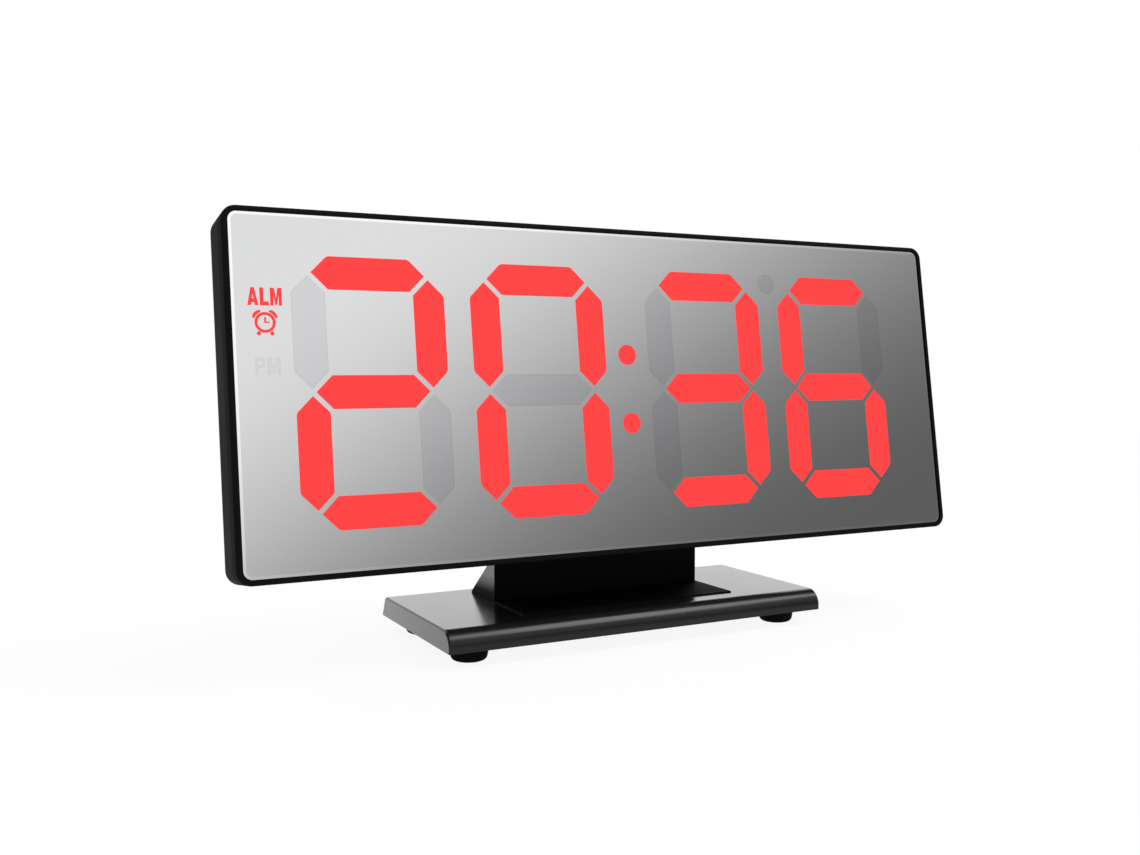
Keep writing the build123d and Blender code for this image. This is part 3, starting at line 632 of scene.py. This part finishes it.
# Display board: glass-epoxy with a green resist, paler in bands where copper tracks run under it.
# The light-emitting chips sit on its front, everything else on its back.
track_pitch = 1300.0
track_waver = 1.5
track_green = (0.030, 0.16, 0.07, 1)
board_green = finish(
    "board_green",
    dark=(0.012, 0.085, 0.040),
    light=(0.018, 0.11, 0.05),
    roughness=(0.25, 0.35),
    specular=0.5,
    fineness=2500.0,
    height=2e-6,
)
tree = board_green.node_tree
wave = {"Vector": object_place(tree), "Scale": track_pitch / (2 * math.pi), "Distortion": track_waver}
tracks = add_node(tree, "TexWave", wave)["Fac"]
paint_over(board_green, track_green, tracks)
coat(board_green, "display_board")
clear_red = finish(
    "clear_red",
    dark=(0.55, 0.05, 0.04),
    light=(0.65, 0.08, 0.06),
    roughness=(0.15, 0.25),
    specular=0.5,
    fineness=1500.0,
    height=1e-6,
)
coat(clear_red, "segment_leds")
coat(plated_steel, "board_screws")
chip_black = finish(
    "chip_black",
    dark=(0.014, 0.014, 0.015),
    light=(0.022, 0.022, 0.023),
    roughness=(0.55, 0.68),
    specular=0.4,
    fineness=5000.0,
    height=6e-6,
)
coat(chip_black, "controller_chip", "driver_chips", "buzzer", "smoothing_capacitor", "switch_bodies")
drawn_can = finish(
    "drawn_can",
    dark=(0.62, 0.62, 0.60),
    light=(0.74, 0.74, 0.72),
    roughness=(0.18, 0.28),
    specular=0.5,
    fineness=3000.0,
    height=2e-6,
    clouds=300.0,
    metallic=1.0,
)
coat(drawn_can, "crystal")
sensor_bead = finish(
    "sensor_bead",
    dark=(0.10, 0.035, 0.02),
    light=(0.16, 0.05, 0.03),
    roughness=(0.2, 0.3),
    specular=0.5,
    fineness=1500.0,
    height=3e-6,
)
coat(sensor_bead, "temperature_sensor")
switch_white = finish(
    "switch_white",
    dark=(0.55, 0.54, 0.50),
    light=(0.62, 0.61, 0.57),
    roughness=(0.4, 0.5),
    specular=0.4,
    fineness=3000.0,
    height=4e-6,
)
coat(switch_white, "switch_plungers")

# Power socket: a folded steel shell round a black tongue with five gilt contacts.
# It is soldered to the board's right edge and opens in the side of the housing.
contact_count = 5
contact_pitch = 0.00065
contact_width = 0.00036
contact_thick = 0.00004
contact_length = 0.0032
contact_tip_gap = 0.0002
tongue_half = 0.0003
socket_shell = finish(
    "socket_shell",
    dark=(0.56, 0.56, 0.55),
    light=(0.68, 0.68, 0.67),
    roughness=(0.20, 0.30),
    specular=0.5,
    fineness=3000.0,
    height=2e-6,
    clouds=400.0,
    metallic=1.0,
)
coat(socket_shell, "power_socket_shell")
tongue_black = finish(
    "tongue_black",
    dark=(0.012, 0.012, 0.012),
    light=(0.020, 0.020, 0.020),
    roughness=(0.4, 0.5),
    specular=0.4,
    fineness=3000.0,
    height=3e-6,
)
coat(tongue_black, "power_socket_insulator")
gilt = finish(
    "gilt",
    dark=(0.75, 0.48, 0.16),
    light=(0.82, 0.55, 0.22),
    roughness=(0.18, 0.28),
    specular=0.5,
    fineness=3000.0,
    height=1e-6,
    clouds=500.0,
    metallic=1.0,
)
tongue_tip = span("power_socket_insulator", face_right)[1]
tongue_middle = sum(span("power_socket_shell", face_up)) / 2
tongue_front = sum(span("power_socket_shell", face_out)) / 2 + tongue_half
strips = []
for index in range(contact_count):
    lane = (index - (contact_count - 1) / 2) * contact_pitch
    start = (tongue_tip - contact_length, lane)
    end = (tongue_tip - contact_tip_gap, lane)
    points, faces = bar_band(start, end, contact_width)
    points[:, 2] = np.where(points[:, 2] > 0, contact_thick, 0)
    strips.append(((points + np.array([0, tongue_middle, tongue_front])) @ face_axes, faces))
add_piece("power_contacts", *gather(strips), gilt, "clock", "contact_steel")

# Rear cover: the back half of the housing, with the bulge for the cells and the neck.
# Black ABS with a spark-eroded texture that is dull at a glance.
# Four screws at its corners close it onto the bezel.
textured_black = finish(
    "textured_black",
    dark=(0.010, 0.010, 0.0104),
    light=(0.014, 0.014, 0.0146),
    roughness=(0.50, 0.60),
    specular=0.008,
    fineness=2600.0,
    height=9e-6,
)
dull_at_a_glance(textured_black, shine=0.56, roughness=0.55)
coat(textured_black, "rear_cover")
left, right = span("housing_screws", face_right)
bottom, top = span("housing_screws", face_up)
back_seat = span("housing_screws", face_out)[0] + screw_crown
seats = [
    face_right * x + face_up * y + face_out * back_seat
    for x in (left + screw_head, right - screw_head)
    for y in (bottom + screw_head, top - screw_head)
]
add_screws("housing_screws", seats, -face_out, plated_steel)

# Neck screws: two more of the zinc-plated screws, which hold the clock on its stand.
# They go in from behind, through the bulge into the upright.
low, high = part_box("neck_screws")
neck_row = [low.x + screw_head, high.x - screw_head]
seats = [(x, high.y - screw_crown, (low.z + high.z) / 2) for x in neck_row]
backward = (0, 1, 0)
add_screws("neck_screws", seats, backward, plated_steel)

# Cells: three AAA cells in shrunk sleeves, with nickel-plated contacts at both ends of the bay.
# The sleeves are plain, with a bright ring at each end.
sleeve_half = 0.0185
bare_steel = (0.62, 0.60, 0.56, 1)
cell_sleeve = finish(
    "cell_sleeve",
    dark=(0.035, 0.045, 0.075),
    light=(0.045, 0.058, 0.095),
    roughness=(0.22, 0.30),
    specular=0.5,
    fineness=1500.0,
    height=1e-6,
)
tree = cell_sleeve.node_tree
from_middle = reckon(tree, "ABSOLUTE", add_node(tree, "SeparateXYZ", {0: object_place(tree)})["X"])
past_sleeve = reckon(tree, "GREATER_THAN", from_middle, sleeve_half)
paint_over(cell_sleeve, bare_steel, past_sleeve)
set_shader(cell_sleeve, {"Metallic": past_sleeve})
coat(cell_sleeve, "battery_cells")
contact_nickel = finish(
    "contact_nickel",
    dark=(0.60, 0.58, 0.53),
    light=(0.72, 0.70, 0.65),
    roughness=(0.20, 0.30),
    specular=0.5,
    fineness=3000.0,
    height=2e-6,
    clouds=500.0,
    metallic=1.0,
)
coat(contact_nickel, "contact_bridges", "contact_terminals")

# Battery door: a flat lid that slides up in two grooves of the bulge.
# The same ABS as the cover, with its grip ribs in the moulding.
# A raised arrow, painted a shade paler and glossier than the cover so that it stands out, shows the
# way.
arrow_width = 0.0072
arrow_height = 0.0046
arrow_above = 0.0115
arrow_proud = 0.00035
rib_proud = 0.0004
blunt_tip = 0.02
coat(textured_black, "battery_door")


def facing_back(points, x, y, level, proud):
    """Flat points laid on a surface that faces backwards, read from behind."""
    axes = np.array([-face_right, face_up, -face_out])
    raised = points * 1.0
    raised[:, 2] = np.where(points[:, 2] > 0, proud, -mark_sunk)
    return (raised + np.array([-x, y, -level])) @ axes


def triangle_shape(width, height):
    """Triangle that points up the face, or down it where both sizes are negative: foot to tip."""
    foot = np.array([[-width / 2, -height / 2], [width / 2, -height / 2]])
    tip = np.array([[-width * blunt_tip, height / 2], [width * blunt_tip, height / 2]])
    return band_shape(tip, foot, False)


# The arrow's colour is painted paler than the door's own ABS so that its shape shows.
paler_arrow = finish(
    "paler_arrow",
    dark=(0.046, 0.046, 0.048),
    light=(0.060, 0.060, 0.063),
    roughness=(0.30, 0.42),
    specular=0.4,
    fineness=2200.0,
    height=4e-6,
)
arrow_level = span("battery_door", face_out)[0] + rib_proud
arrow_middle = sum(span("battery_door", face_up)) / 2 + arrow_above
points, faces = triangle_shape(arrow_width, arrow_height)
arrow_points = facing_back(points, 0, arrow_middle, arrow_level, arrow_proud)
add_piece("door_arrow", arrow_points, faces, paler_arrow, "battery_door", "matte_black")

# Push buttons: five satin caps in one row over the bulge, each with a printed sign.
# A shade lighter than the cover; the signs are pad-printed in pale grey.
sign_proud = 0.00003
set_sign_size = (0.0050, 0.0019)
snooze_sign_size = (0.0030, 0.0021)
arrow_sign_width = 0.0034
arrow_sign_height = 0.0026
alarm_sign_radius = 0.00125
button_grey = finish(
    "button_grey",
    dark=(0.030, 0.030, 0.032),
    light=(0.042, 0.042, 0.045),
    roughness=(0.34, 0.44),
    specular=0.4,
    fineness=2200.0,
    height=5e-6,
)
print_grey = finish(
    "print_grey",
    dark=(0.52, 0.52, 0.53),
    light=(0.60, 0.60, 0.61),
    roughness=(0.5, 0.6),
    specular=0.3,
    fineness=5000.0,
    height=1e-6,
)


def word_shape(word, size):
    """Letters of the plain font, filled and stretched to a width and height."""
    letters = bpy.data.curves.new(word, "FONT")
    letters.body = word
    letters.extrude = 1.0
    holder = bpy.data.objects.new(word, letters)
    mesh = bpy.data.meshes.new_from_object(holder)
    points = np.empty(len(mesh.vertices) * 3)
    mesh.vertices.foreach_get("co", points)
    points = points.reshape(-1, 3)
    faces = [list(face.vertices) for face in mesh.polygons]
    bpy.data.objects.remove(holder)
    bpy.data.meshes.remove(mesh)
    points = (points - (points.max(0) + points.min(0)) / 2) / (points.max(0) - points.min(0))
    points[:, :2] *= size
    return points, faces


sign_shapes = {
    "set_button": word_shape("SET", set_sign_size),
    "up_button": triangle_shape(arrow_sign_width, arrow_sign_height),
    "down_button": triangle_shape(-arrow_sign_width, -arrow_sign_height),
    "alarm_button": alarm_clock_shape(alarm_sign_radius),
    "snooze_button": word_shape("Zz", snooze_sign_size),
}
for button, (points, faces) in sign_shapes.items():
    coat(button_grey, button)
    x = sum(span(button, face_right)) / 2
    y = sum(span(button, face_up)) / 2
    sign_points = facing_back(points, x, y, span(button, face_out)[0], sign_proud)
    add_piece(button.replace("_button", "_sign"), sign_points, faces, print_grey, button, "button_grey")

# Floor: a pale sheet under the clock, which keeps its shadow.
# The camera and reflections see most of it as plain white, and all of it further off.
floor_half = 4.0
floor_near = 0.25
floor_far = 0.95
floor_white = 0.91
floor_colour = (0.92, 0.92, 0.92, 1)
floor_roughness = 0.9
floor_mesh = bpy.data.meshes.new("floor")
floor_corners = floor_half * np.array([(-1, -1, 0), (1, -1, 0), (1, 1, 0), (-1, 1, 0)])
floor_mesh.from_pydata(floor_corners.tolist(), [], [(0, 1, 2, 3)])
floor = bpy.data.objects.new("floor", floor_mesh)
bpy.context.scene.collection.objects.link(floor)
floor_paint = bpy.data.materials.new("floor_paint")
floor_paint.use_nodes = True
floor_mesh.materials.append(floor_paint)
set_shader(
    floor_paint,
    {"Base Color": floor_colour, "Roughness": floor_roughness, "Specular IOR Level": 0.0},
)
tree = floor_paint.node_tree
rays = add_node(tree, "LightPath", {})
seen = reckon(tree, "MAXIMUM", rays["Is Camera Ray"], rays["Is Transmission Ray"])
seen = reckon(tree, "MAXIMUM", seen, rays["Is Glossy Ray"])
away = add_node(tree, "VectorMath", {0: object_place(tree)}, operation="LENGTH")["Value"]
whiter = ramp(tree, away, floor_near, floor_far, floor_white, interpolation_type="SMOOTHSTEP")
shaders = {
    "Fac": reckon(tree, "MULTIPLY", seen, whiter),
    1: tree.nodes["Principled BSDF"].outputs["BSDF"],
    2: add_node(tree, "Emission", {})["Emission"],
}
blend = add_node(tree, "MixShader", shaders)["Shader"]
feed(tree, tree.nodes["Material Output"], {"Surface": blend})

# Surroundings: a studio that is plain white to the camera and lights the clock evenly.
# Reflections see it fade from pale, above and ahead, to grey, lower down and at both sides.
# Behind the clock they see it white.
fade_across = -1.166
fade_round = 0.05
fade_up = 1.989
fade_start = 0.620
fade_grey = 0.364
fade_pale = 0.863
picture_gamma = 2.2
coat_loss = 0.725
plain_level = 0.72
behind_starts = -0.45
behind_full = 0.05
world = bpy.data.worlds.new("studio")
bpy.context.scene.world = world
world.use_nodes = True
air = world.node_tree
air.nodes.clear()
towards = add_node(air, "SeparateXYZ", {0: add_node(air, "TexCoord", {})["Generated"]})
aside_squared = reckon(air, "MULTIPLY", towards["X"], towards["X"])
aside = reckon(air, "SQRT", reckon(air, "ADD", aside_squared, fade_round ** 2))
darker = reckon(air, "MULTIPLY", aside, fade_across)
paler = reckon(air, "MULTIPLY", towards["Z"], fade_up)
slope = reckon(air, "ADD", reckon(air, "ADD", darker, paler), fade_start)
grey = ramp(air, slope, 0.0, 1.0, fade_grey, fade_pale, interpolation_type="SMOOTHSTEP")
tone = reckon(air, "DIVIDE", reckon(air, "POWER", grey, picture_gamma), coat_loss)
behind = ramp(air, towards["Y"], behind_starts, behind_full, interpolation_type="SMOOTHSTEP")
tone = reckon(air, "MAXIMUM", tone, behind)
rays = add_node(air, "LightPath", {})
seen = reckon(air, "MAXIMUM", rays["Is Camera Ray"], rays["Is Transmission Ray"])
level = reckon(air, "ADD", plain_level, reckon(air, "MULTIPLY", seen, 1 - plain_level))
mirrored = reckon(air, "MULTIPLY", rays["Is Glossy Ray"], reckon(air, "SUBTRACT", tone, plain_level))
level = reckon(air, "ADD", level, mirrored)
sky = add_node(air, "Background", {"Color": (1, 1, 1, 1), "Strength": level})["Background"]
add_node(air, "OutputWorld", {"Surface": sky})

# Soft boxes: one high at the right in front of the clock, one high at the left behind it.
# Rectangular lamps that the camera doesn't see.
clock_middle = (0, 0, 0.05)


def soft_box(name, place, aim, size, power):
    """Rectangular soft box at a place, turned to face a point."""
    lamp = bpy.data.lights.new(name, "AREA")
    lamp.shape = "RECTANGLE"
    lamp.size = size[0]
    lamp.size_y = size[1]
    lamp.energy = power
    box = bpy.data.objects.new(name, lamp)
    box.location = place
    box.rotation_euler = (Vector(aim) - Vector(place)).to_track_quat("-Z", "Y").to_euler()
    box.visible_camera = False
    bpy.context.scene.collection.objects.link(box)


soft_box("high_box", place=(0.50, -0.36, 0.86), aim=clock_middle, size=(0.60, 0.42), power=5.0)
soft_box("rear_box", place=(-0.45, 0.70, 0.85), aim=clock_middle, size=(0.7, 0.5), power=3.0)

# Camera: left of the clock and just above the stand.
# Its place, turn and field of view are those of the photograph, whose picture is 1140 wide.
camera_place = (-0.14180, -0.25318, 0.06679)
camera_turn = 27.556
camera_dip = 3.083
picture_width = 1140
focal_pixels = 1138.63
camera_data = bpy.data.cameras.new("camera")
camera_data.sensor_fit = "HORIZONTAL"
camera_data.sensor_width = 36.0
camera_data.lens = camera_data.sensor_width * focal_pixels / picture_width
camera_data.clip_start = 0.01
camera = bpy.data.objects.new("camera", camera_data)
camera.location = camera_place
camera.rotation_euler = (math.radians(90 - camera_dip), 0, math.radians(-camera_turn))
bpy.context.scene.collection.objects.link(camera)
bpy.context.scene.camera = camera
bpy.context.scene.view_settings.view_transform = "Standard"
